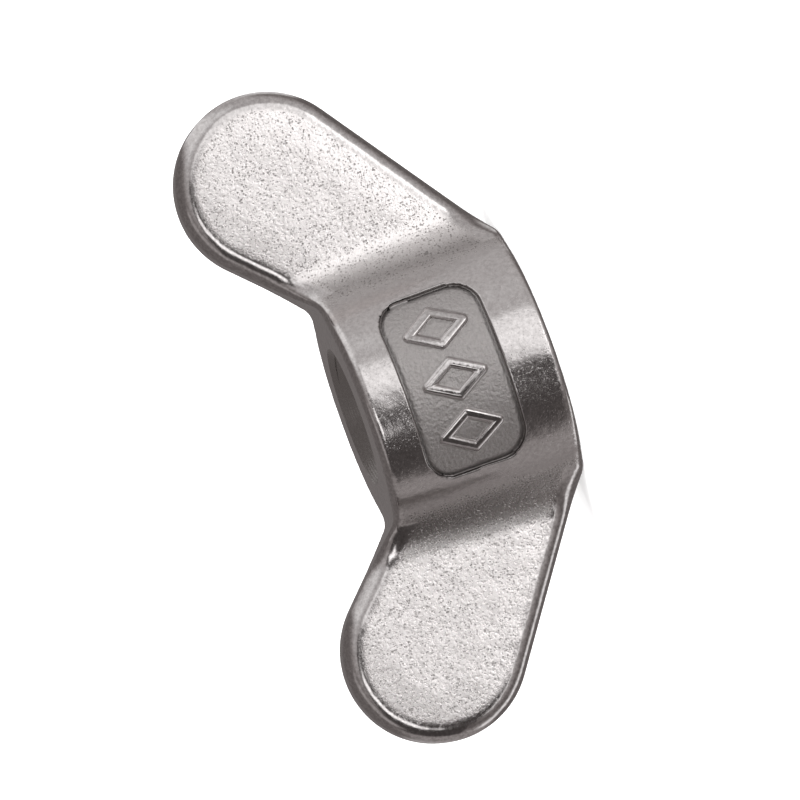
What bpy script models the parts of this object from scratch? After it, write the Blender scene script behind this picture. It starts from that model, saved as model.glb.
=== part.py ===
"""Cast wing nut for an M10 stud, one solid. Metres.

+Z runs up the thread axis, the wings lie along X and the marked panels face -Y and +Y.
"""

import math

import bmesh
import bpy
from mathutils import Vector

MM = 0.001

# Hub: a short cone that stands on its wide end.
HUB_HEIGHT = 14.8 * MM
HUB_BASE_RADIUS = 9.6 * MM
HUB_TOP_RADIUS = 8.9 * MM
HUB_RIM_ROUNDING = 0.8 * MM
HUB_SEGMENTS = 72

# Wings: flat tongues that rise from the hub's foot, each with a round lobe at its tip.
WING_SPAN = 51.0 * MM
OVERALL_HEIGHT = 22.0 * MM
WING_THICKNESS = 4.6 * MM
WING_EDGE_ROUNDING = 1.4 * MM
LOBE_RADIUS = 7.0 * MM
FOOT_X = 9.45 * MM
FOOT_Z = 0.05 * MM
NOTCH_X = 8.4 * MM
NOTCH_FILLET = 0.8 * MM
ROOT_FILLET = 3.0 * MM

# Thread: ISO metric M10 coarse, right-handed, with a countersunk mouth at each end.
THREAD_DIAMETER = 10.0 * MM
THREAD_PITCH = 1.5 * MM
STEPS_PER_TURN = 40
BASE_MOUTH_RADIUS = 5.8 * MM
TOP_MOUTH_RADIUS = 5.4 * MM

# Marked panel: a shallow recess that follows the hub, with three diamond outlines raised in it.
PANEL_MIDDLE_Z = 7.7 * MM
PANEL_WIDTH = 13.6 * MM
PANEL_HEIGHT = 7.8 * MM
PANEL_CORNER = 2.0 * MM
PANEL_DEPTH = 0.35 * MM
DIAMOND_PITCH = 4.0 * MM
DIAMOND_WIDTH = 3.3 * MM
DIAMOND_HEIGHT = 5.2 * MM
DIAMOND_STROKE = 0.7 * MM

# Worked out from the dimensions above.
LOBE = (WING_SPAN / 2 - LOBE_RADIUS, OVERALL_HEIGHT - LOBE_RADIUS)
HALF_THICKNESS = WING_THICKNESS / 2
THREAD_SHARP_HEIGHT = THREAD_PITCH * math.sqrt(3) / 2
THREAD_MINOR_RADIUS = THREAD_DIAMETER / 2 - THREAD_SHARP_HEIGHT * 5 / 8

# Joined shapes run this far into each other, and cutters this far past what they cut.
SINK = 0.03 * MM
CLEAR = 2.0 * MM
SPECK = 0.003 * MM

STEEL_COLOUR = (0.60, 0.585, 0.575, 1.0)
STEEL_ROUGHNESS = 0.38


def clear_scene():
    for scene_object in list(bpy.data.objects):
        bpy.data.objects.remove(scene_object, do_unlink=True)


def new_collection(name):
    collection = bpy.data.collections.new(name)
    bpy.context.scene.collection.children.link(collection)
    return collection


def cast_steel():
    material = bpy.data.materials.new("cast_stainless_steel")
    material.use_nodes = True
    shader = material.node_tree.nodes["Principled BSDF"]
    shader.inputs["Base Color"].default_value = STEEL_COLOUR
    shader.inputs["Metallic"].default_value = 1.0
    shader.inputs["Roughness"].default_value = STEEL_ROUGHNESS
    return material


def object_from(bm, name, collection):
    bmesh.ops.recalc_face_normals(bm, faces=bm.faces)
    mesh = bpy.data.meshes.new(name)
    bm.to_mesh(mesh)
    bm.free()
    made = bpy.data.objects.new(name, mesh)
    collection.objects.link(made)
    return made


def helper(bm, name, collection):
    """An object that only joins or cuts another."""
    made = object_from(bm, name, collection)
    made.hide_render = True
    made.display_type = "WIRE"
    return made


def combine(body, other, operation):
    modifier = body.modifiers.new(other.name, "BOOLEAN")
    modifier.object = other
    modifier.operation = operation
    modifier.solver = "EXACT"


def arc(centre, radius, start, end, segments):
    angles = [start + (end - start) * step / segments for step in range(segments + 1)]
    return [(centre[0] + radius * math.cos(a), centre[1] + radius * math.sin(a)) for a in angles]


def direction(start, end):
    return math.atan2(end[1] - start[1], end[0] - start[0])


def add_prism(bm, points, travel, place):
    """A flat outline, whose corners place() puts in space, extruded along travel. Gives the moved corners."""
    corners = [bm.verts.new(place(point)) for point in points]
    face = bm.faces.new(corners)
    grown = bmesh.ops.extrude_face_region(bm, geom=[face])["geom"]
    moved = [item for item in grown if isinstance(item, bmesh.types.BMVert)]
    bmesh.ops.translate(bm, verts=moved, vec=travel)
    return moved


def hub_radius(z):
    return HUB_BASE_RADIUS + (HUB_TOP_RADIUS - HUB_BASE_RADIUS) * z / HUB_HEIGHT


def make_hub(collection):
    """The turned body: its profile runs from the top's centre, down the side, to the base's centre."""
    quarter = math.pi / 2
    top_centre = (HUB_TOP_RADIUS - HUB_RIM_ROUNDING, HUB_HEIGHT - HUB_RIM_ROUNDING)
    base_centre = (HUB_BASE_RADIUS - HUB_RIM_ROUNDING, HUB_RIM_ROUNDING)
    profile = [(0, HUB_HEIGHT)]
    profile += arc(top_centre, HUB_RIM_ROUNDING, quarter, 0, 5)
    profile += arc(base_centre, HUB_RIM_ROUNDING, 0, -quarter, 5)
    profile += [(0, 0)]
    bm = bmesh.new()
    corners = [bm.verts.new((radius, 0, z)) for radius, z in profile]
    for start, end in zip(corners, corners[1:]):
        bm.edges.new((start, end))
    mesh = bpy.data.meshes.new("wing_nut")
    bm.to_mesh(mesh)
    bm.free()
    hub = bpy.data.objects.new("wing_nut", mesh)
    collection.objects.link(hub)
    turn = hub.modifiers.new("turned", "SCREW")
    turn.axis = "Z"
    turn.steps = HUB_SEGMENTS
    turn.render_steps = HUB_SEGMENTS
    turn.use_merge_vertices = True
    turn.merge_threshold = 0.00001
    turn.use_smooth_shade = False
    return hub


def wing_outline(inset):
    """One wing seen from the front, with its root inside the hub and every edge set in by inset."""
    foot = (FOOT_X, FOOT_Z)
    notch = (NOTCH_X, HUB_HEIGHT - SINK)
    outer_rise = direction(foot, LOBE) - math.asin(LOBE_RADIUS / math.dist(foot, LOBE))
    inner_rise = direction(notch, LOBE) + math.asin(LOBE_RADIUS / math.dist(notch, LOBE))
    fillet_x = NOTCH_X - NOTCH_FILLET * math.tan(inner_rise / 2)
    fillet_z = HUB_HEIGHT - SINK + NOTCH_FILLET
    quarter = math.pi / 2
    outline = [(HUB_TOP_RADIUS / 2, HUB_RIM_ROUNDING + inset)]
    outline += [(FOOT_X - inset * math.tan(outer_rise / 2), FOOT_Z + inset)]
    outline += arc(LOBE, LOBE_RADIUS - inset, outer_rise - quarter, inner_rise + quarter, 28)
    outline += arc((fillet_x, fillet_z), NOTCH_FILLET + inset, inner_rise - quarter, -quarter, 4)
    outline += [(HUB_TOP_RADIUS / 2, HUB_HEIGHT - HUB_RIM_ROUNDING - inset)]
    return outline


def make_wings(collection):
    bm = bmesh.new()
    for side in (1, -1):
        add_prism(bm, wing_outline(0), Vector((0, WING_THICKNESS, 0)),
                  lambda point: (side * point[0], -HALF_THICKNESS, point[1]))
    wings = helper(bm, "wings", collection)
    bevel = wings.modifiers.new("rounded_edges", "BEVEL")
    bevel.width = WING_EDGE_ROUNDING
    bevel.segments = 4
    bevel.limit_method = "ANGLE"
    bevel.angle_limit = math.radians(60)
    return wings


def root_outline(radius):
    """Seen from above: the concave fillets between one wing and a hub of this radius, closed inside both."""
    radius = radius - SINK
    centre_y = HALF_THICKNESS - SINK + ROOT_FILLET
    centre_x = math.sqrt((radius + ROOT_FILLET) ** 2 - centre_y**2)
    on_hub = math.atan2(centre_y, centre_x)
    back = arc((centre_x, centre_y), ROOT_FILLET, -math.pi / 2, on_hub - math.pi, 8)
    back += [(radius / 2, radius / 3)]
    return back + [(x, -y) for x, y in reversed(back)]


def make_root_fillets(collection, front):
    """Prisms on the root outline, tapered with the hub and trimmed just inside the wings' outline."""
    low, high = -CLEAR, HUB_HEIGHT + CLEAR
    bm = bmesh.new()
    for side in (1, -1):
        upper = root_outline(hub_radius(high))
        moved = add_prism(bm, root_outline(hub_radius(low)), Vector((0, 0, high - low)),
                          lambda point: (side * point[0], point[1], low))
        for corner, (x, y) in zip(moved, upper):
            corner.co.xy = (side * x, y)
    fillets = helper(bm, "root_fillets", collection)
    combine(fillets, front, "INTERSECT")
    return fillets


def make_front_trim(collection):
    bm = bmesh.new()
    for side in (1, -1):
        add_prism(bm, wing_outline(HUB_RIM_ROUNDING), Vector((0, 2 * HUB_BASE_RADIUS, 0)),
                  lambda point: (side * point[0], -HUB_BASE_RADIUS, point[1]))
    return helper(bm, "front_trim", collection)


def add_cone(bm, low, high, low_radius, high_radius, segments):
    made = bmesh.ops.create_cone(bm, cap_ends=True, segments=segments, radius1=low_radius,
                                 radius2=high_radius, depth=high - low)
    bmesh.ops.translate(bm, verts=made["verts"], vec=(0, 0, (low + high) / 2))


def make_bore(collection):
    """The drilled hole at the thread's minor diameter."""
    bm = bmesh.new()
    add_cone(bm, -CLEAR, HUB_HEIGHT + CLEAR, THREAD_MINOR_RADIUS, THREAD_MINOR_RADIUS, STEPS_PER_TURN)
    return helper(bm, "bore", collection)


def make_thread_groove(collection):
    """The 60 degree V that the tap cuts: a flat-bottomed tooth swept up a right-handed helix."""
    inner = THREAD_MINOR_RADIUS - THREAD_PITCH / 10
    outer = THREAD_DIAMETER / 2
    outer_half = THREAD_PITCH / 16
    inner_half = outer_half + (outer - inner) * math.tan(math.radians(30))
    start = -1.5 * THREAD_PITCH
    turns = math.ceil(HUB_HEIGHT / THREAD_PITCH) + 3
    bm = bmesh.new()
    tooth = [(inner, -inner_half), (outer, -outer_half), (outer, outer_half), (inner, inner_half)]
    face = bm.faces.new([bm.verts.new((radius, 0, start + z)) for radius, z in tooth])
    bmesh.ops.spin(bm, geom=[face], axis=(0, 0, 1), cent=(0, 0, 0), angle=turns * math.tau,
                   dvec=(0, 0, THREAD_PITCH / STEPS_PER_TURN), steps=turns * STEPS_PER_TURN)
    return helper(bm, "thread_groove", collection)


def make_mouth(name, face_z, radius, inward, collection):
    """A 90 degree countersink; inward is +1 at the base and -1 at the top."""
    reach = radius - THREAD_MINOR_RADIUS + CLEAR / 2
    outside = (face_z - inward * CLEAR, radius + CLEAR)
    inside = (face_z + inward * reach, radius - reach)
    low, high = sorted((outside, inside))
    bm = bmesh.new()
    add_cone(bm, low[0], high[0], low[1], high[1], STEPS_PER_TURN)
    return helper(bm, name, collection)


def panel_outline():
    """A rectangle with round corners, on the hub's front."""
    x = PANEL_WIDTH / 2 - PANEL_CORNER
    z = PANEL_HEIGHT / 2 - PANEL_CORNER
    outline = []
    for turn, (sign_x, sign_z) in enumerate(((1, 1), (-1, 1), (-1, -1), (1, -1))):
        start = turn * math.pi / 2
        centre = (sign_x * x, PANEL_MIDDLE_Z + sign_z * z)
        outline += arc(centre, PANEL_CORNER, start, start + math.pi / 2, 6)
    return outline


def diamond_outline(centre_x, inset):
    """A diamond seen from the front, with its four sides set in by inset."""
    half_width, half_height = DIAMOND_WIDTH / 2, DIAMOND_HEIGHT / 2
    centre_to_side = half_width * half_height / math.hypot(half_width, half_height)
    share = 1 - inset / centre_to_side
    across, up = half_width * share, half_height * share
    return [(centre_x + across, PANEL_MIDDLE_Z), (centre_x, PANEL_MIDDLE_Z + up),
            (centre_x - across, PANEL_MIDDLE_Z), (centre_x, PANEL_MIDDLE_Z - up)]


def add_front_and_back(bm, outline, near, far):
    """The same prism at the hub's front and back, between two distances from its axis."""
    for side in (-1, 1):
        add_prism(bm, outline, Vector((0, side * (far - near), 0)),
                  lambda point: (point[0], side * near, point[1]))


def make_diamonds(collection):
    """The diamonds' strokes, as hollow prisms that run straight in from the front and the back."""
    near, far = HUB_TOP_RADIUS / 2, HUB_BASE_RADIUS + 2 * CLEAR
    outer_bm = bmesh.new()
    inner_bm = bmesh.new()
    for step in (-1, 0, 1):
        centre_x = step * DIAMOND_PITCH
        add_front_and_back(outer_bm, diamond_outline(centre_x, 0), near, far)
        add_front_and_back(inner_bm, diamond_outline(centre_x, DIAMOND_STROKE), near - CLEAR, far + CLEAR)
    diamonds = helper(outer_bm, "diamonds", collection)
    combine(diamonds, helper(inner_bm, "diamond_centres", collection), "DIFFERENCE")
    return diamonds


def make_panels(collection):
    """The two recesses, with a floor that follows the hub and the diamonds left standing on it."""
    panels_bm = bmesh.new()
    add_front_and_back(panels_bm, panel_outline(), HUB_TOP_RADIUS / 2, HUB_BASE_RADIUS + CLEAR)
    core_bm = bmesh.new()
    add_cone(core_bm, 0, HUB_HEIGHT, HUB_BASE_RADIUS - PANEL_DEPTH, HUB_TOP_RADIUS - PANEL_DEPTH,
             HUB_SEGMENTS)
    panels = helper(panels_bm, "panels", collection)
    combine(panels, helper(core_bm, "panel_floor", collection), "DIFFERENCE")
    combine(panels, make_diamonds(collection), "DIFFERENCE")
    return panels


def finish(body):
    """Applies the joins and cuts, welds the specks they leave, and shades round surfaces smooth."""
    evaluated = body.evaluated_get(bpy.context.evaluated_depsgraph_get())
    mesh = bpy.data.meshes.new_from_object(evaluated)
    bm = bmesh.new()
    bm.from_mesh(mesh)
    bmesh.ops.triangulate(bm, faces=bm.faces)
    bmesh.ops.remove_doubles(bm, verts=bm.verts, dist=SPECK)
    bmesh.ops.dissolve_degenerate(bm, edges=bm.edges, dist=SPECK)
    bm.to_mesh(mesh)
    bm.free()
    body.modifiers.clear()
    body.data = mesh
    mesh.shade_smooth()
    mesh.set_sharp_from_angle(angle=math.radians(30))


def main():
    clear_scene()
    parts = new_collection("wing_nut_m10")
    cutters = new_collection("cutters")
    nut = make_hub(parts)
    nut.data.materials.append(cast_steel())
    combine(nut, make_wings(cutters), "UNION")
    combine(nut, make_root_fillets(cutters, make_front_trim(cutters)), "UNION")
    combine(nut, make_panels(cutters), "DIFFERENCE")
    combine(nut, make_bore(cutters), "DIFFERENCE")
    combine(nut, make_thread_groove(cutters), "DIFFERENCE")
    combine(nut, make_mouth("base_mouth", 0, BASE_MOUTH_RADIUS, 1, cutters), "DIFFERENCE")
    combine(nut, make_mouth("top_mouth", HUB_HEIGHT, TOP_MOUTH_RADIUS, -1, cutters), "DIFFERENCE")
    finish(nut)


main()
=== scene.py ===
"""Looks of the cast wing nut: its fine surface, its steel and a plain white stage.

The shape is worked out in millimetres and scaled to metres in its meshes. Its overall sizes come
from the CAD frame.
"""

import math

import bmesh
import bpy
import numpy as np
from mathutils import Matrix, Vector


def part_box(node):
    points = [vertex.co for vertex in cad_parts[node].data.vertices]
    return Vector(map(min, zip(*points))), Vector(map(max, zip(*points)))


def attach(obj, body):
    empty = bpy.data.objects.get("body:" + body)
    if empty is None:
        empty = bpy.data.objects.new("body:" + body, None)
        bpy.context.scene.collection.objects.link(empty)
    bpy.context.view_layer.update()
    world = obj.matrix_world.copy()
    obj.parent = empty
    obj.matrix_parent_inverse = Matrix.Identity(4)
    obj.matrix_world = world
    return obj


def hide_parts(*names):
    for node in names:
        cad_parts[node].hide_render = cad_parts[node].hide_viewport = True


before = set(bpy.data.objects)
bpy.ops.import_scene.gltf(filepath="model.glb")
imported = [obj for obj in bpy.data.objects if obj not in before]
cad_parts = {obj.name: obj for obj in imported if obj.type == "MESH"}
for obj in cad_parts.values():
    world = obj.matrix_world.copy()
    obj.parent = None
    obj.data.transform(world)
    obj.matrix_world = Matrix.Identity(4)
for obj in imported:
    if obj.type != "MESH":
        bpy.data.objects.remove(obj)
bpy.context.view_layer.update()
box_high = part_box("wing_nut")[1]

MM = 0.001

# The shape's dimensions.
HALF_SPAN = box_high.x / MM
BASE_RADIUS = box_high.y / MM
OVERALL_HEIGHT = box_high.z / MM
HUB_HEIGHT = 14.8
TOP_RADIUS = 8.9
HUB_BARREL = 0.08
TOP_RIM_ROUNDING = 0.75
BASE_RIM_ROUNDING = 0.45
RIM_CHANGE_Z = (4.0, 11.0)
HUB_FRONT_HALF_WIDTH = 7.5
HUB_FRONT_SLOPE = 0.1
FOOT_ROUNDING = 0.3
HALF_THICKNESS = 2.3
WING_CROWN = 0.10
WING_CROWN_INSET = (0.5, 4.0)
WING_ROOT_X = (8.0, 11.5)
EDGE_ROUNDING = 1.35
LOBE_RADIUS = 7.0
FOOT_X = 9.45
NOTCH_X = 8.4
NOTCH_FILLET = 0.4
ROOT_FILLET = 3.0
THREAD_DIAMETER = 10.0
THREAD_PITCH = 1.5
BASE_MOUTH_RADIUS = 5.8
TOP_MOUTH_RADIUS = 5.4
MOUTH_DEPTH = 2.4
PANEL_HALF_WIDTH = 6.8
PANEL_HALF_HEIGHT = 3.9
PANEL_CORNER = 2.0
PANEL_DEPTH = 0.32
PANEL_LIP_ROUNDING = 0.12
PANEL_FLOOR_ROUNDING = 0.10
GROOVE_DEPTH = 0.10
GROOVE_INSET = 0.20
GROOVE_HALF_WIDTH = 0.15
DIAMOND_PITCH = 4.0
DIAMOND_HALF_WIDTH = 1.30
DIAMOND_HALF_HEIGHT = 2.15
DIAMOND_STROKE = 0.74
DIAMOND_ROUNDING = 0.30
DIAMOND_FILLET = 0.08
DIAMOND_BELOW_HUB = 0.02
PANEL_MIDDLE = 7.7

# Panels and diamonds lie nearer the thread axis than this along X, and farther from it along Y.
PANEL_REACH_X = 8.0
PANEL_REACH_Y = 4.0

# The mesh is made finer this near the panel, and finer again this near its edges and the diamonds' edges.
PANEL_MARGIN = 0.7
EDGE_MARGIN = 0.34

# How far past the hub the drill and the countersinks start.
DRILL_CLEARANCE = 3.0
MOUTH_CLEARANCE = 1.0

# The mesh: its grid, the step and the least steepness used to find the surface, the share of the way that a
# point moves to even out the grid, the size of a speck to weld, the steps round the thread, and the turn that
# makes an edge sharp.
GRID_STEP = 0.36
GRADIENT_STEP = 0.004
LEAST_STEEPNESS = 0.05
RELAXING_SHARE = 0.6
SPECK = 0.002
THREAD_STEPS = 96
SHARP_DEGREES = 28

LOBE_X = HALF_SPAN - LOBE_RADIUS
LOBE_Z = OVERALL_HEIGHT - LOBE_RADIUS


def rise_from(x, z, side):
    """The slope of the line from a point that touches the lobe on its lower (-1) or upper (+1) side."""
    towards_lobe = math.atan2(LOBE_Z - z, LOBE_X - x)
    return towards_lobe + side * math.asin(LOBE_RADIUS / math.hypot(LOBE_X - x, LOBE_Z - z))


OUTER_RISE = rise_from(FOOT_X, 0.0, -1)
INNER_RISE = rise_from(NOTCH_X, HUB_HEIGHT, 1)


def ramp(value, start, end):
    """0 before start, 1 after end, smooth in between."""
    t = np.clip((value - start) / (end - start), 0, 1)
    return t * t * (3 - 2 * t)


def rounded_corner(a, b, radius):
    """Distance to what both a and b hold, with the edge between them rounded over."""
    outside = np.hypot(np.maximum(a + radius, 0), np.maximum(b + radius, 0))
    return np.minimum(np.maximum(a, b) + radius, 0) + outside - radius


def filleted_joint(a, b, radius):
    """Distance to what a or b holds, with the corner between them filled."""
    filled = np.hypot(np.maximum(radius - a, 0), np.maximum(radius - b, 0))
    return np.maximum(radius, np.minimum(a, b)) - filled


def wing_front(x, z):
    """Distance, seen from the front, to the wing: the lobe's circle and the two lines that touch it."""
    dx, dz = x - LOBE_X, z - LOBE_Z
    along_outer = dx * math.cos(OUTER_RISE) + dz * math.sin(OUTER_RISE)
    along_inner = dx * math.cos(INNER_RISE) + dz * math.sin(INNER_RISE)
    outer = dx * math.sin(OUTER_RISE) - dz * math.cos(OUTER_RISE) - LOBE_RADIUS
    inner = -dx * math.sin(INNER_RISE) + dz * math.cos(INNER_RISE) - LOBE_RADIUS
    lobe = np.hypot(dx, dz) - LOBE_RADIUS
    rootward = (along_outer < 0) & (along_inner < 0)
    return np.where(rootward, np.maximum(outer, inner), lobe)


def front_distance(x, z):
    """Distance, seen from the front, to the outline of the whole nut.

    The hub's flat top ends at a slanted side that is hidden inside the wing's root.
    """
    x = np.abs(x)
    slanted_side = x - HUB_FRONT_HALF_WIDTH - HUB_FRONT_SLOPE * z
    hub = np.maximum(z - HUB_HEIGHT, slanted_side)
    outline = filleted_joint(hub, wing_front(x, z), NOTCH_FILLET)
    return rounded_corner(outline, -z, FOOT_ROUNDING)


def wall_distance(x, y, z):
    """Distance, seen from above, to the hub's cone and the wings' flat sides, with their fillets."""
    share = np.clip(z / HUB_HEIGHT, 0, 1)
    barrel = 4 * HUB_BARREL * share * (1 - share)
    hub = np.hypot(x, y) - (BASE_RADIUS + (TOP_RADIUS - BASE_RADIUS) * share + barrel)
    crown = WING_CROWN * (1 - ramp(-wing_front(np.abs(x), z), *WING_CROWN_INSET))
    wing = np.abs(y) - HALF_THICKNESS + crown
    return filleted_joint(hub, wing, ROOT_FILLET)


def rim_rounding(z):
    return BASE_RIM_ROUNDING + (TOP_RIM_ROUNDING - BASE_RIM_ROUNDING) * ramp(z, *RIM_CHANGE_Z)


def blank_distance(x, y, z):
    """Distance to the casting without its panels."""
    rim = rim_rounding(z)
    rounding = rim + (EDGE_ROUNDING - rim) * ramp(np.abs(x), *WING_ROOT_X)
    return rounded_corner(wall_distance(x, y, z), front_distance(x, z), rounding)


def panel_distance(x, z):
    """Distance, seen from the front, to the panel's rounded rectangle."""
    across = np.abs(x) - PANEL_HALF_WIDTH + PANEL_CORNER
    up = np.abs(z - PANEL_MIDDLE) - PANEL_HALF_HEIGHT + PANEL_CORNER
    outside = np.hypot(np.maximum(across, 0), np.maximum(up, 0))
    return np.minimum(np.maximum(across, up), 0) + outside - PANEL_CORNER


def diamond_distance(x, z):
    """Distance, seen from the front, to the strokes of the three diamonds in the panel."""
    column = np.clip(np.round(x / DIAMOND_PITCH), -1, 1)
    across = np.abs(x - column * DIAMOND_PITCH)
    up = np.abs(z - PANEL_MIDDLE)
    width, height = DIAMOND_HALF_WIDTH, DIAMOND_HALF_HEIGHT
    along = ((width - across) * width + up * height) / (width**2 + height**2)
    along = np.clip(along, 0, 1)
    from_side = np.hypot(across - width * (1 - along), up - height * along)
    return from_side - DIAMOND_STROKE / 2


def casting_distance(x, y, z):
    """Distance to the finished outside: the blank, its sunk panels and their raised diamonds."""
    blank = blank_distance(x, y, z)
    panel = panel_distance(x, z)
    edge_groove = GROOVE_DEPTH * np.exp(-(((panel + GROOVE_INSET) / GROOVE_HALF_WIDTH) ** 2))
    sunk = rounded_corner(panel, -(blank + PANEL_DEPTH + edge_groove), PANEL_FLOOR_ROUNDING)
    body = rounded_corner(blank, -sunk, PANEL_LIP_ROUNDING)
    raised = rounded_corner(diamond_distance(x, z), blank + DIAMOND_BELOW_HUB, DIAMOND_ROUNDING)
    with_panels = filleted_joint(body, raised, DIAMOND_FILLET)
    near_panel = (np.abs(x) < PANEL_REACH_X) & (np.abs(y) > PANEL_REACH_Y)
    return np.where(near_panel, with_panels, blank)


def gradient(points):
    """The outward direction of the casting's surface at each point."""
    h = GRADIENT_STEP
    x, y, z = points.T
    slopes = np.stack([
        casting_distance(x + h, y, z) - casting_distance(x - h, y, z),
        casting_distance(x, y + h, z) - casting_distance(x, y - h, z),
        casting_distance(x, y, z + h) - casting_distance(x, y, z - h),
    ], axis=1) / (2 * h)
    return slopes


def onto_surface(points, rounds=4):
    """Moves points along the surface's direction until they lie on it."""
    for _ in range(rounds):
        slopes = gradient(points)
        steepness = np.maximum((slopes**2).sum(axis=1), LEAST_STEEPNESS)
        points = points - slopes * (casting_distance(*points.T) / steepness)[:, None]
    return points


def surface_net():
    """A quad mesh round the casting: one point in each grid cell that the surface crosses."""
    low = np.array((-HALF_SPAN, -BASE_RADIUS, 0.0)) - 1.5 * GRID_STEP
    high = np.array((HALF_SPAN, BASE_RADIUS, OVERALL_HEIGHT)) + 2.5 * GRID_STEP
    axes = [np.arange(low[i], high[i], GRID_STEP) for i in range(3)]
    inside = casting_distance(*np.meshgrid(*axes, indexing="ij")) < 0
    held = sum(
        inside[i:inside.shape[0] - 1 + i, j:inside.shape[1] - 1 + j, k:inside.shape[2] - 1 + k].astype(int)
        for i in (0, 1) for j in (0, 1) for k in (0, 1)
    )
    crossed = (held > 0) & (held < 8)
    number = np.full(crossed.shape, -1)
    number[crossed] = np.arange(crossed.sum())
    cells = np.argwhere(crossed)
    points = low + (cells + 0.5) * GRID_STEP
    quads = []
    for axis in range(3):
        one, two = [(1, 2), (2, 0), (0, 1)][axis]
        ahead = np.roll(inside, -1, axis=axis)
        leaving = np.argwhere(inside & ~ahead)
        entering = np.argwhere(~inside & ahead)
        for edges, turn in ((leaving, 1), (entering, -1)):
            corners = []
            for step_one, step_two in ((-1, -1), (0, -1), (0, 0), (-1, 0))[::turn]:
                cell = edges.copy()
                cell[:, one] += step_one
                cell[:, two] += step_two
                corners.append(number[tuple(cell.T)])
            quads.append(np.stack(corners, axis=1))
    return points, np.concatenate(quads)


def relaxed(points, quads, rounds=4):
    """Evens out the quads, keeping the points on the surface."""
    ends = np.concatenate([quads[:, [i, (i + 1) % 4]] for i in range(4)])
    count = np.bincount(ends[:, 0], minlength=len(points)) + np.bincount(ends[:, 1], minlength=len(points))
    for _ in range(rounds):
        total = np.zeros_like(points)
        np.add.at(total, ends[:, 0], points[ends[:, 1]])
        np.add.at(total, ends[:, 1], points[ends[:, 0]])
        evened = points + RELAXING_SHARE * (total / count[:, None] - points)
        points = onto_surface(evened, rounds=2)
    return points


def bmesh_points(bm):
    return np.array([vertex.co for vertex in bm.verts]) / MM


def refine(bm, wanted, cuts):
    """Subdivides the edges whose middles are wanted, and puts the new points on the surface."""
    bm.edges.ensure_lookup_table()
    middles = np.array([(edge.verts[0].co + edge.verts[1].co) / 2 for edge in bm.edges]) / MM
    chosen = wanted(*middles.T)
    edges = [edge for edge, take in zip(bm.edges, chosen) if take]
    bmesh.ops.subdivide_edges(bm, edges=edges, cuts=cuts, use_grid_fill=True)
    bmesh.ops.triangulate(bm, faces=[face for face in bm.faces if len(face.verts) > 4])
    points = bmesh_points(bm)
    near = np.flatnonzero((np.abs(points[:, 0]) < PANEL_REACH_X) & (np.abs(points[:, 1]) > PANEL_REACH_Y))
    placed = onto_surface(points[near], rounds=5) * MM
    bm.verts.ensure_lookup_table()
    for index, place in zip(near, placed):
        bm.verts[index].co = place


def in_panel(x, y, z):
    return (panel_distance(x, z) < PANEL_MARGIN) & (np.abs(y) > PANEL_REACH_Y)


def on_panel_edges(x, y, z):
    edge = np.minimum(np.abs(panel_distance(x, z) + PANEL_LIP_ROUNDING), np.abs(diamond_distance(x, z)))
    return (edge < EDGE_MARGIN) & (np.abs(y) > PANEL_REACH_Y)


def object_from(bm, name):
    mesh = bpy.data.meshes.new(name)
    bm.to_mesh(mesh)
    bm.free()
    made = bpy.data.objects.new(name, mesh)
    bpy.context.scene.collection.objects.link(made)
    return made


def make_casting():
    points, quads = surface_net()
    points = relaxed(onto_surface(points), quads)
    mesh = bpy.data.meshes.new("net")
    mesh.from_pydata((points * MM).tolist(), [], quads.tolist())
    bm = bmesh.new()
    bm.from_mesh(mesh)
    bpy.data.meshes.remove(mesh)
    refine(bm, in_panel, 1)
    refine(bm, on_panel_edges, 2)
    bmesh.ops.triangulate(bm, faces=bm.faces)
    bmesh.ops.recalc_face_normals(bm, faces=bm.faces)
    return object_from(bm, "cast_wing_nut")


def add_cone(bm, low, high, low_radius, high_radius):
    made = bmesh.ops.create_cone(bm, cap_ends=True, segments=THREAD_STEPS, radius1=low_radius * MM,
                                 radius2=high_radius * MM, depth=(high - low) * MM)
    bmesh.ops.translate(bm, verts=made["verts"], vec=(0, 0, (low + high) / 2 * MM))


def thread_tooth(bm):
    """The tap's tooth, swept up a right-handed helix."""
    sharp_height = THREAD_PITCH * math.sqrt(3) / 2
    outer = THREAD_DIAMETER / 2
    inner = outer - sharp_height * 5 / 8 - THREAD_PITCH / 10
    outer_half = THREAD_PITCH / 16
    inner_half = outer_half + (outer - inner) * math.tan(math.radians(30))
    start = -1.5 * THREAD_PITCH
    turns = math.ceil(HUB_HEIGHT / THREAD_PITCH) + 3
    tooth = [(inner, -inner_half), (outer, -outer_half), (outer, outer_half), (inner, inner_half)]
    face = bm.faces.new([bm.verts.new((radius * MM, 0, (start + z) * MM)) for radius, z in tooth])
    bmesh.ops.spin(bm, geom=[face], axis=(0, 0, 1), cent=(0, 0, 0), angle=turns * math.tau,
                   dvec=(0, 0, THREAD_PITCH * MM / THREAD_STEPS), steps=turns * THREAD_STEPS)


def make_tool(name, shape):
    bm = bmesh.new()
    shape(bm)
    bmesh.ops.recalc_face_normals(bm, faces=bm.faces)
    return object_from(bm, name)


def combine(body, other, operation):
    """Joins or cuts body with other, keeps each face's own material, and removes other."""
    modifier = body.modifiers.new(other.name, "BOOLEAN")
    modifier.object = other
    modifier.operation = operation
    modifier.solver = "EXACT"
    modifier.material_mode = "TRANSFER"
    evaluated = body.evaluated_get(bpy.context.evaluated_depsgraph_get())
    mesh = bpy.data.meshes.new_from_object(evaluated)
    body.modifiers.clear()
    body.data = mesh
    bpy.data.objects.remove(other)


def weld_specks(bm):
    """Closes the tiny gaps and slivers that a join or a cut leaves."""
    bmesh.ops.triangulate(bm, faces=bm.faces)
    bmesh.ops.remove_doubles(bm, verts=bm.verts, dist=SPECK * MM)
    bmesh.ops.dissolve_degenerate(bm, edges=bm.edges, dist=SPECK * MM)


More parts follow.
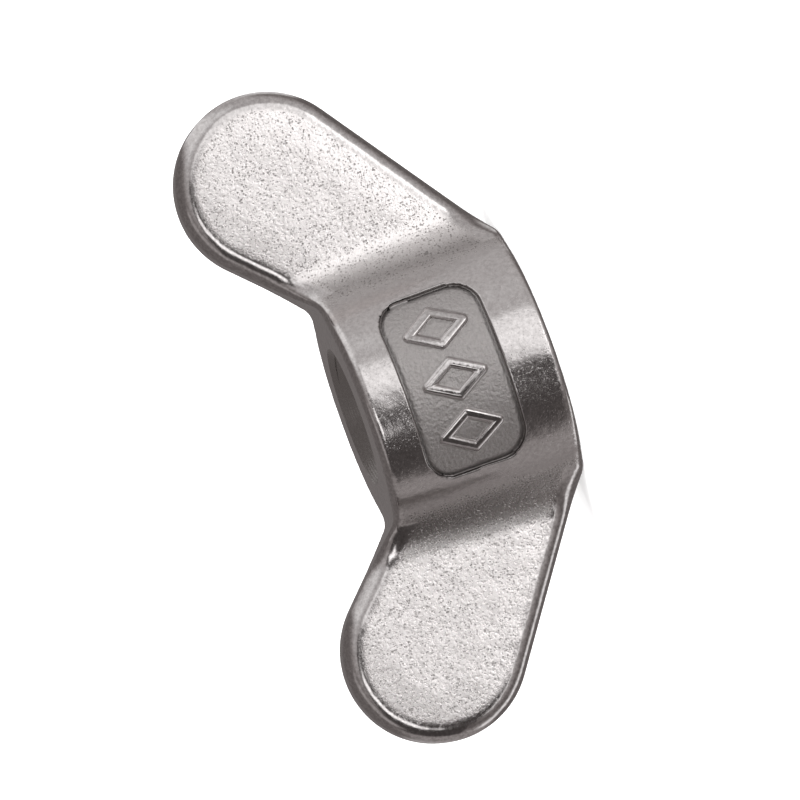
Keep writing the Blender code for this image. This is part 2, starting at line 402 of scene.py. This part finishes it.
def make_tap(machined):
    """Everything that the drill, the countersinks and the tap take away."""
    minor = THREAD_DIAMETER / 2 - THREAD_PITCH * math.sqrt(3) / 2 * 5 / 8
    over, out = DRILL_CLEARANCE, MOUTH_CLEARANCE
    tap = make_tool("tap", lambda bm: add_cone(bm, -over, HUB_HEIGHT + over, minor, minor))
    base = make_tool("base_mouth", lambda bm: add_cone(
        bm, -out, MOUTH_DEPTH, BASE_MOUTH_RADIUS + out, BASE_MOUTH_RADIUS - MOUTH_DEPTH))
    top = make_tool("top_mouth", lambda bm: add_cone(
        bm, HUB_HEIGHT - MOUTH_DEPTH, HUB_HEIGHT + out,
        TOP_MOUTH_RADIUS - MOUTH_DEPTH, TOP_MOUTH_RADIUS + out))
    tooth = make_tool("tooth", thread_tooth)
    for tool in (tap, base, top, tooth):
        tool.data.materials.append(machined)
    for tool in (tooth, base, top):
        combine(tap, tool, "UNION")
    bm = bmesh.new()
    bm.from_mesh(tap.data)
    weld_specks(bm)
    bm.to_mesh(tap.data)
    bm.free()
    return tap


# Where the looks change. A pair is where a change starts and ends: past an edge's rounding, in from the
# panel's edge, over the hub's surface without its panel, or along an axis.
WING_START_X = 9.0
WING_POLISH_END = (-0.05, 0.35)
RIM_POLISH_END = (-0.2, 0.15)
RECESS_INSET = (0.05, 0.25)
FLOOR_LEVEL = (-0.26, -0.16)
RAISED_LEVEL = (-0.16, -0.06)
# WALL_HALF_WIDTH is the half width of the painted shade along the panel's wall.
WALL_HALF_WIDTH = 0.13
HUB_SIDE_X = (8.0, 9.0)
HUB_SIDE_Y = (2.6, 3.6)
# ROOT_X and ROOT_HALF_WIDTH place the painted shade in the creases at the wings' roots.
ROOT_X = 9.2
ROOT_HALF_WIDTH = 1.1


def sharpen_edges(bm, degrees):
    """Marks the edges that turn by more than this as sharp, and the rest as smooth."""
    limit = math.radians(degrees)
    for edge in bm.edges:
        edge.smooth = len(edge.link_faces) == 2 and edge.calc_face_angle() < limit
    for face in bm.faces:
        face.smooth = True


def write_masks(mesh):
    """Stores what the surface is at each point, for the steel's material to read."""
    points = np.array([vertex.co for vertex in mesh.vertices]) / MM
    x, y, z = points.T
    front = front_distance(x, z)
    wing_edge = 1 - ramp(-front - EDGE_ROUNDING, *WING_POLISH_END)
    rim_edge = 1 - ramp(-front - rim_rounding(z), *RIM_POLISH_END)
    polish = np.where(np.abs(x) > WING_START_X, wing_edge, rim_edge)
    panel = panel_distance(x, z)
    blank = blank_distance(x, y, z)
    facing = np.abs(y) > PANEL_REACH_Y
    in_recess = facing * ramp(-panel, *RECESS_INSET)
    floor = in_recess * (1 - ramp(blank, *FLOOR_LEVEL))
    raised = in_recess * ramp(blank, *RAISED_LEVEL)
    # A band along the panel's wall, where painted shade darkens the steel.
    painted_wall_shade = facing * np.exp(-(((panel + PANEL_LIP_ROUNDING) / WALL_HALF_WIDTH) ** 2))
    hub_side = (1 - ramp(np.abs(x), *HUB_SIDE_X)) * ramp(np.abs(y), *HUB_SIDE_Y)
    # The root mask marks the creases at the wings' roots, where painted shade darkens the steel.
    root = np.exp(-(((np.abs(x) - ROOT_X) / ROOT_HALF_WIDTH) ** 2)) * (1 - polish)
    masks = {"polish": polish, "floor": floor, "raised": raised}
    masks.update({"painted_wall_shade": painted_wall_shade, "hub_side": hub_side, "root": root})
    for name, values in masks.items():
        layer = mesh.attributes.new(name, "FLOAT", "POINT")
        layer.data.foreach_set("value", values.astype(np.float32))


def write_normals(mesh):
    """Gives the cast faces the exact direction of the surface, and leaves the machined faces flat-sided."""
    points = np.array([vertex.co for vertex in mesh.vertices]) / MM
    slopes = gradient(points)
    slopes /= np.maximum(np.linalg.norm(slopes, axis=1, keepdims=True), 1e-9)
    corner_normals = np.array([corner.vector for corner in mesh.corner_normals])
    for face in mesh.polygons:
        if face.material_index == 0:
            loops = list(face.loop_indices)
            corner_normals[loops] = slopes[list(face.vertices)]
    mesh.normals_split_custom_set(corner_normals.tolist())


class Nodes:
    """Short calls that add shader nodes to one material."""

    def __init__(self, material):
        material.use_nodes = True
        self.tree = material.node_tree
        self.tree.nodes.clear()

    def add(self, kind, inputs=None, **settings):
        node = self.tree.nodes.new(kind)
        for name, value in settings.items():
            setattr(node, name, value)
        for name, value in (inputs or {}).items():
            if isinstance(value, bpy.types.NodeSocket):
                self.tree.links.new(value, node.inputs[name])
            else:
                node.inputs[name].default_value = value
        return node

    def math(self, operation, a, b=0.0):
        return self.add("ShaderNodeMath", {0: a, 1: b}, operation=operation).outputs[0]

    def mix(self, share, a, b):
        return self.add("ShaderNodeMix", {0: share, 2: a, 3: b}, data_type="FLOAT").outputs[0]

    def mix_color(self, share, a, b):
        return self.add("ShaderNodeMix", {0: share, 6: a, 7: b}, data_type="RGBA").outputs[2]

    def range(self, value, low, high, to_low=0.0, to_high=1.0):
        limits = {0: value, 1: low, 2: high, 3: to_low, 4: to_high}
        return self.add("ShaderNodeMapRange", limits).outputs[0]

    def noise(self, place, scale, detail=2.0, roughness=0.5):
        inputs = {"Vector": place, "Scale": scale, "Detail": detail, "Roughness": roughness}
        return self.add("ShaderNodeTexNoise", inputs).outputs["Fac"]

    def dots(self, place, scale, largest):
        """Round specks, one in each random cell, up to this share of the cell in radius."""
        cells = self.add("ShaderNodeTexVoronoi", {"Vector": place, "Scale": scale})
        chance = self.add("ShaderNodeSeparateColor", {0: cells.outputs["Color"]}).outputs[0]
        radius = self.range(chance, 0.25, 1.0, 0.0, largest)
        return self.range(self.math("SUBTRACT", radius, cells.outputs["Distance"]), 0.0, 0.15)

    def vector(self, operation, a, b=(0, 0, 0)):
        """A vector calculation whose result is a number."""
        return self.add("ShaderNodeVectorMath", {0: a, 1: b}, operation=operation).outputs["Value"]

    def attribute(self, name):
        return self.add("ShaderNodeAttribute", attribute_name=name).outputs["Fac"]

    def millimetres(self):
        """The place on the object, in millimetres."""
        place = self.add("ShaderNodeTexCoord").outputs["Object"]
        scaled = self.add("ShaderNodeVectorMath", {0: place, "Scale": 1 / MM}, operation="SCALE")
        return scaled.outputs[0]

    def finish(self, color, roughness, height):
        """Ends the tree in a metal whose bump is height, in millimetres."""
        bump = self.add("ShaderNodeBump", {"Height": height, "Distance": MM, "Strength": 1.0})
        surface = self.add("ShaderNodeBsdfPrincipled", {
            "Base Color": color, "Metallic": 1.0, "Roughness": roughness, "Normal": bump.outputs[0]})
        self.add("ShaderNodeOutputMaterial", {0: surface.outputs[0]})


def cast_steel():
    """Cast stainless steel: satin and pitted, polished on the hub and the edges, dull in the panels, with
    painted shade along the panels' walls and at the wings' roots.
    """
    material = bpy.data.materials.new("cast_stainless_steel")
    nodes = Nodes(material)
    place = nodes.millimetres()
    polish = nodes.attribute("polish")
    floor = nodes.attribute("floor")
    raised = nodes.attribute("raised")
    painted_wall_shade = nodes.attribute("painted_wall_shade")
    root = nodes.attribute("root")
    hub_side = nodes.attribute("hub_side")
    worn = nodes.math("MAXIMUM", raised, nodes.math("MULTIPLY", hub_side, 0.85))
    smooth = nodes.math("MAXIMUM", polish, worn)
    rough = nodes.math("SUBTRACT", 1.0, smooth)

    fine = nodes.noise(place, 5.0, 3.0, 0.6)
    specks = nodes.math("MAXIMUM", nodes.dots(place, 4.4, 0.42), nodes.dots(place, 6.4, 0.44))
    patches = nodes.range(nodes.noise(place, 0.4, 2.0, 0.5), 0.35, 0.65, 0.65, 1.0)
    pits = nodes.math("MULTIPLY", nodes.math("MULTIPLY", specks, patches), rough)
    nicks = nodes.range(nodes.noise(place, 1.7, 1.0, 0.5), 0.24, 0.20)
    pits = nodes.math("MAXIMUM", pits, nodes.math("MULTIPLY", nicks, rough))
    cloud = nodes.noise(place, 0.9, 3.0, 0.6)

    flat = nodes.mix_color(cloud, (0.82, 0.78, 0.77, 1), (0.91, 0.87, 0.86, 1))
    mottle = nodes.range(nodes.noise(place, 3.2, 3.0, 0.7), 0.35, 0.65)
    polished = nodes.mix_color(mottle, (0.46, 0.435, 0.43, 1), (0.63, 0.60, 0.595, 1))
    dull = nodes.mix_color(fine, (0.44, 0.42, 0.415, 1), (0.64, 0.61, 0.60, 1))
    # Painted shade for the creases where the wings meet the hub.
    painted_root_shade = (0.34, 0.315, 0.31, 1)
    color = nodes.mix_color(smooth, flat, polished)
    color = nodes.mix_color(floor, color, dull)
    # Painted shade darkens the wings' root fillets.
    color = nodes.mix_color(nodes.math("MULTIPLY", root, 0.85), color, painted_root_shade)
    # Painted shade: a dark line along the panel's wall, where the recess is in shade.
    color = nodes.mix_color(nodes.math("MULTIPLY", painted_wall_shade, 0.8), color, (0.14, 0.13, 0.125, 1))
    color = nodes.mix_color(nodes.math("MULTIPLY", pits, 0.56), color, (0.17, 0.155, 0.15, 1))

    roughness = nodes.range(fine, 0.3, 0.7, 0.25, 0.32)
    roughness = nodes.mix(smooth, roughness, nodes.range(fine, 0.3, 0.7, 0.13, 0.21))
    roughness = nodes.mix(floor, roughness, 0.62)
    roughness = nodes.math("ADD", roughness, nodes.math("MULTIPLY", pits, 0.15))

    grain = nodes.math("MULTIPLY", fine, nodes.mix(smooth, 0.030, 0.003))
    waves = nodes.math("MULTIPLY", nodes.noise(place, 0.5, 2.0), 0.05)
    sunk = nodes.math("MULTIPLY", pits, -0.035)
    coarse = nodes.math("MULTIPLY", nodes.noise(place, 3.5, 2.0), nodes.math("MULTIPLY", floor, 0.10))
    height = nodes.math("ADD", nodes.math("ADD", grain, waves), nodes.math("ADD", sunk, coarse))
    nodes.finish(color, roughness, height)
    return material


def machined_steel():
    """The tapped and countersunk faces: darker, smoother steel with the fine rings that the tools leave."""
    material = bpy.data.materials.new("machined_steel")
    nodes = Nodes(material)
    place = nodes.millimetres()
    height = nodes.add("ShaderNodeSeparateXYZ", {0: place}).outputs[2]
    rings = nodes.math("SINE", nodes.math("MULTIPLY", height, 40.0))
    speckle = nodes.noise(place, 6.0, 2.0)
    color = nodes.mix_color(speckle, (0.36, 0.34, 0.33, 1), (0.46, 0.44, 0.43, 1))
    roughness = nodes.range(speckle, 0.3, 0.7, 0.18, 0.30)
    bump = nodes.math("ADD", nodes.math("MULTIPLY", rings, 0.0008), nodes.math("MULTIPLY", speckle, 0.006))
    nodes.finish(color, roughness, bump)
    return material


def clean_mesh(casting):
    """Welds the specks and sets which edges are sharp."""
    bm = bmesh.new()
    bm.from_mesh(casting.data)
    weld_specks(bm)
    sharpen_edges(bm, SHARP_DEGREES)
    for edge in bm.edges:
        kinds = {face.material_index for face in edge.link_faces}
        if len(kinds) > 1:
            edge.smooth = False
    bm.to_mesh(casting.data)
    bm.free()


def make_nut():
    cast, machined = cast_steel(), machined_steel()
    casting = make_casting()
    casting.data.materials.append(cast)
    combine(casting, make_tap(machined), "DIFFERENCE")
    clean_mesh(casting)
    write_masks(casting.data)
    write_normals(casting.data)
    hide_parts("wing_nut")
    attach(casting, "root")


# The stage, in metres and watts. The floor's glow changes from its first strength to its second between
# these distances from the middle, in millimetres.
FLOOR_RADIUS = 1.5
FLOOR_GLOW = (0.57, 1.0)
GLOW_CHANGE = (120, 500)
KEY_LIGHT_PLACE = Vector((0.05, -0.30, 0.50))
KEY_LIGHT_SIDE = 1.20
KEY_LIGHT_POWER = 16.0

# The camera: its azimuth, elevation and roll in degrees, its distance and the height it shows in metres,
# and the width of its sensor in millimetres.
CAMERA_ANGLES = (-1.0, 7.04, -109.67)
CAMERA_DISTANCE = 0.590
SHOWN_HEIGHT = 0.060
SENSOR_WIDTH = 36


def make_floor():
    """A large white disc. It takes the shadow, but the steel doesn't reflect it."""
    bm = bmesh.new()
    bmesh.ops.create_circle(bm, cap_ends=True, segments=96, radius=FLOOR_RADIUS)
    floor = object_from(bm, "floor")
    material = bpy.data.materials.new("white_floor")
    nodes = Nodes(material)
    grain = nodes.noise(nodes.millimetres(), 0.02)
    white = nodes.mix_color(grain, (0.68, 0.68, 0.68, 1), (0.72, 0.72, 0.72, 1))
    diffuse = nodes.add("ShaderNodeBsdfDiffuse", {"Color": white})
    strength = nodes.range(nodes.vector("LENGTH", nodes.millimetres()), *GLOW_CHANGE, *FLOOR_GLOW)
    glow = nodes.add("ShaderNodeEmission", {"Strength": strength})
    both = nodes.add("ShaderNodeAddShader", {0: diffuse.outputs[0], 1: glow.outputs[0]})
    nodes.add("ShaderNodeOutputMaterial", {0: both.outputs[0]})
    floor.data.materials.append(material)
    floor.visible_glossy = False


def make_key_light(target):
    """A large soft light that gives the floor its shadow. The steel's reflections come from the world."""
    data = bpy.data.lights.new("key_light", "AREA")
    data.size = KEY_LIGHT_SIDE
    data.energy = KEY_LIGHT_POWER
    light = bpy.data.objects.new("key_light", data)
    bpy.context.scene.collection.objects.link(light)
    light.location = KEY_LIGHT_PLACE
    light.rotation_euler = (target - KEY_LIGHT_PLACE).to_track_quat("-Z", "Y").to_euler()
    light.visible_glossy = False


def view_axes(azimuth, elevation, roll):
    """The camera's right, up and backward directions, from angles in degrees."""
    a, e, r = (math.radians(angle) for angle in (azimuth, elevation, roll))
    back = Vector((math.sin(a) * math.cos(e), -math.cos(a) * math.cos(e), math.sin(e)))
    level = Vector((math.cos(a), math.sin(a), 0))
    upright = back.cross(level)
    right = math.cos(r) * level + math.sin(r) * upright
    return right, back.cross(right), back


def make_camera(axes, target):
    right, up, back = axes
    data = bpy.data.cameras.new("camera")
    data.sensor_width = SENSOR_WIDTH
    data.lens = SENSOR_WIDTH * CAMERA_DISTANCE / SHOWN_HEIGHT
    data.clip_start, data.clip_end = 0.01, 10
    camera = bpy.data.objects.new("camera", data)
    bpy.context.scene.collection.objects.link(camera)
    turn = Matrix((right, up, back)).transposed().to_4x4()
    camera.matrix_world = Matrix.Translation(target + back * CAMERA_DISTANCE) @ turn
    bpy.context.scene.camera = camera


# What the steel reflects, in degrees from the camera's direction. Each patch has the direction it lies in,
# counterclockwise from the picture's right, its (nearest, farthest) angle that way, its (lowest, highest)
# angle across, the width of its soft border, and its brightness. A later patch covers an earlier one.
STUDIO = (
    (45, (-20, 75), (-30, 50), 60, 0.95),
    (130, (20, 148), (-62, 30), 20, 0.62),
    (150, (45, 150), (-45, 5), 20, 1.05),
    (90, (-2, 42), (-30, 14), 6, 1.35),
    (0, (24, 36), (-25, 40), 6, 2.6),
    (285, (70, 150), (-50, 50), 16, 0.38),
    (270, (-1, 74), (-24, 34), 4, 0.075),
    (270, (-10, 4), (-24, 6), 4, 0.075),
    (222, (6, 20), (-6, 27), 3, 2.0),
    (222, (50, 66), (-28, 34), 8, 0.5),
    (330, (84, 102), (-45, 40), 6, 1.2),
    (90, (122, 165), (-40, 40), 20, 0.9),
    (270, (125, 165), (-40, 40), 20, 0.5),
)
DARK_ROOM = 0.20


def make_world(axes):
    """White to the camera. Everything else sees the studio, a dark room with soft boxes and dark cards."""
    world = bpy.data.worlds.new("studio")
    bpy.context.scene.world = world
    nodes = Nodes(world)
    direction = nodes.add("ShaderNodeTexCoord").outputs["Generated"]
    right, up, back = axes

    turned = nodes.math("ARCCOSINE", nodes.vector("DOT_PRODUCT", direction, back))
    sideways = nodes.math("MAXIMUM", nodes.math("SINE", turned), 0.001)
    stretch = nodes.math("DIVIDE", nodes.math("DEGREES", turned), sideways)
    strength = DARK_ROOM
    for angle, reach, width, border, brightness in STUDIO:
        along = math.cos(math.radians(angle)) * right + math.sin(math.radians(angle)) * up
        across = back.cross(along)
        share = 1.0
        for axis, (low, high) in ((along, reach), (across, width)):
            value = nodes.math("MULTIPLY", nodes.vector("DOT_PRODUCT", direction, axis), stretch)
            entered = nodes.range(value, low - border / 2, low + border / 2)
            left = nodes.range(value, high - border / 2, high + border / 2, 1.0, 0.0)
            share = nodes.math("MULTIPLY", share, nodes.math("MULTIPLY", entered, left))
        strength = nodes.mix(share, strength, brightness)
    tint = nodes.mix_color(nodes.range(strength, 0.1, 0.8), (1.0, 0.90, 0.88, 1), (1, 1, 1, 1))
    seen = nodes.add("ShaderNodeLightPath").outputs["Is Camera Ray"]
    strength = nodes.mix(seen, strength, 1.0)
    tint = nodes.mix_color(seen, tint, (1, 1, 1, 1))
    background = nodes.add("ShaderNodeBackground", {"Color": tint, "Strength": strength})
    nodes.add("ShaderNodeOutputWorld", {0: background.outputs[0]})


def main():
    make_nut()
    make_floor()
    axes = view_axes(*CAMERA_ANGLES)
    middle = Vector((0, 0, OVERALL_HEIGHT / 2 * MM))
    make_camera(axes, middle)
    make_world(axes)
    make_key_light(middle)
    bpy.context.scene.view_settings.view_transform = "Standard"


main()
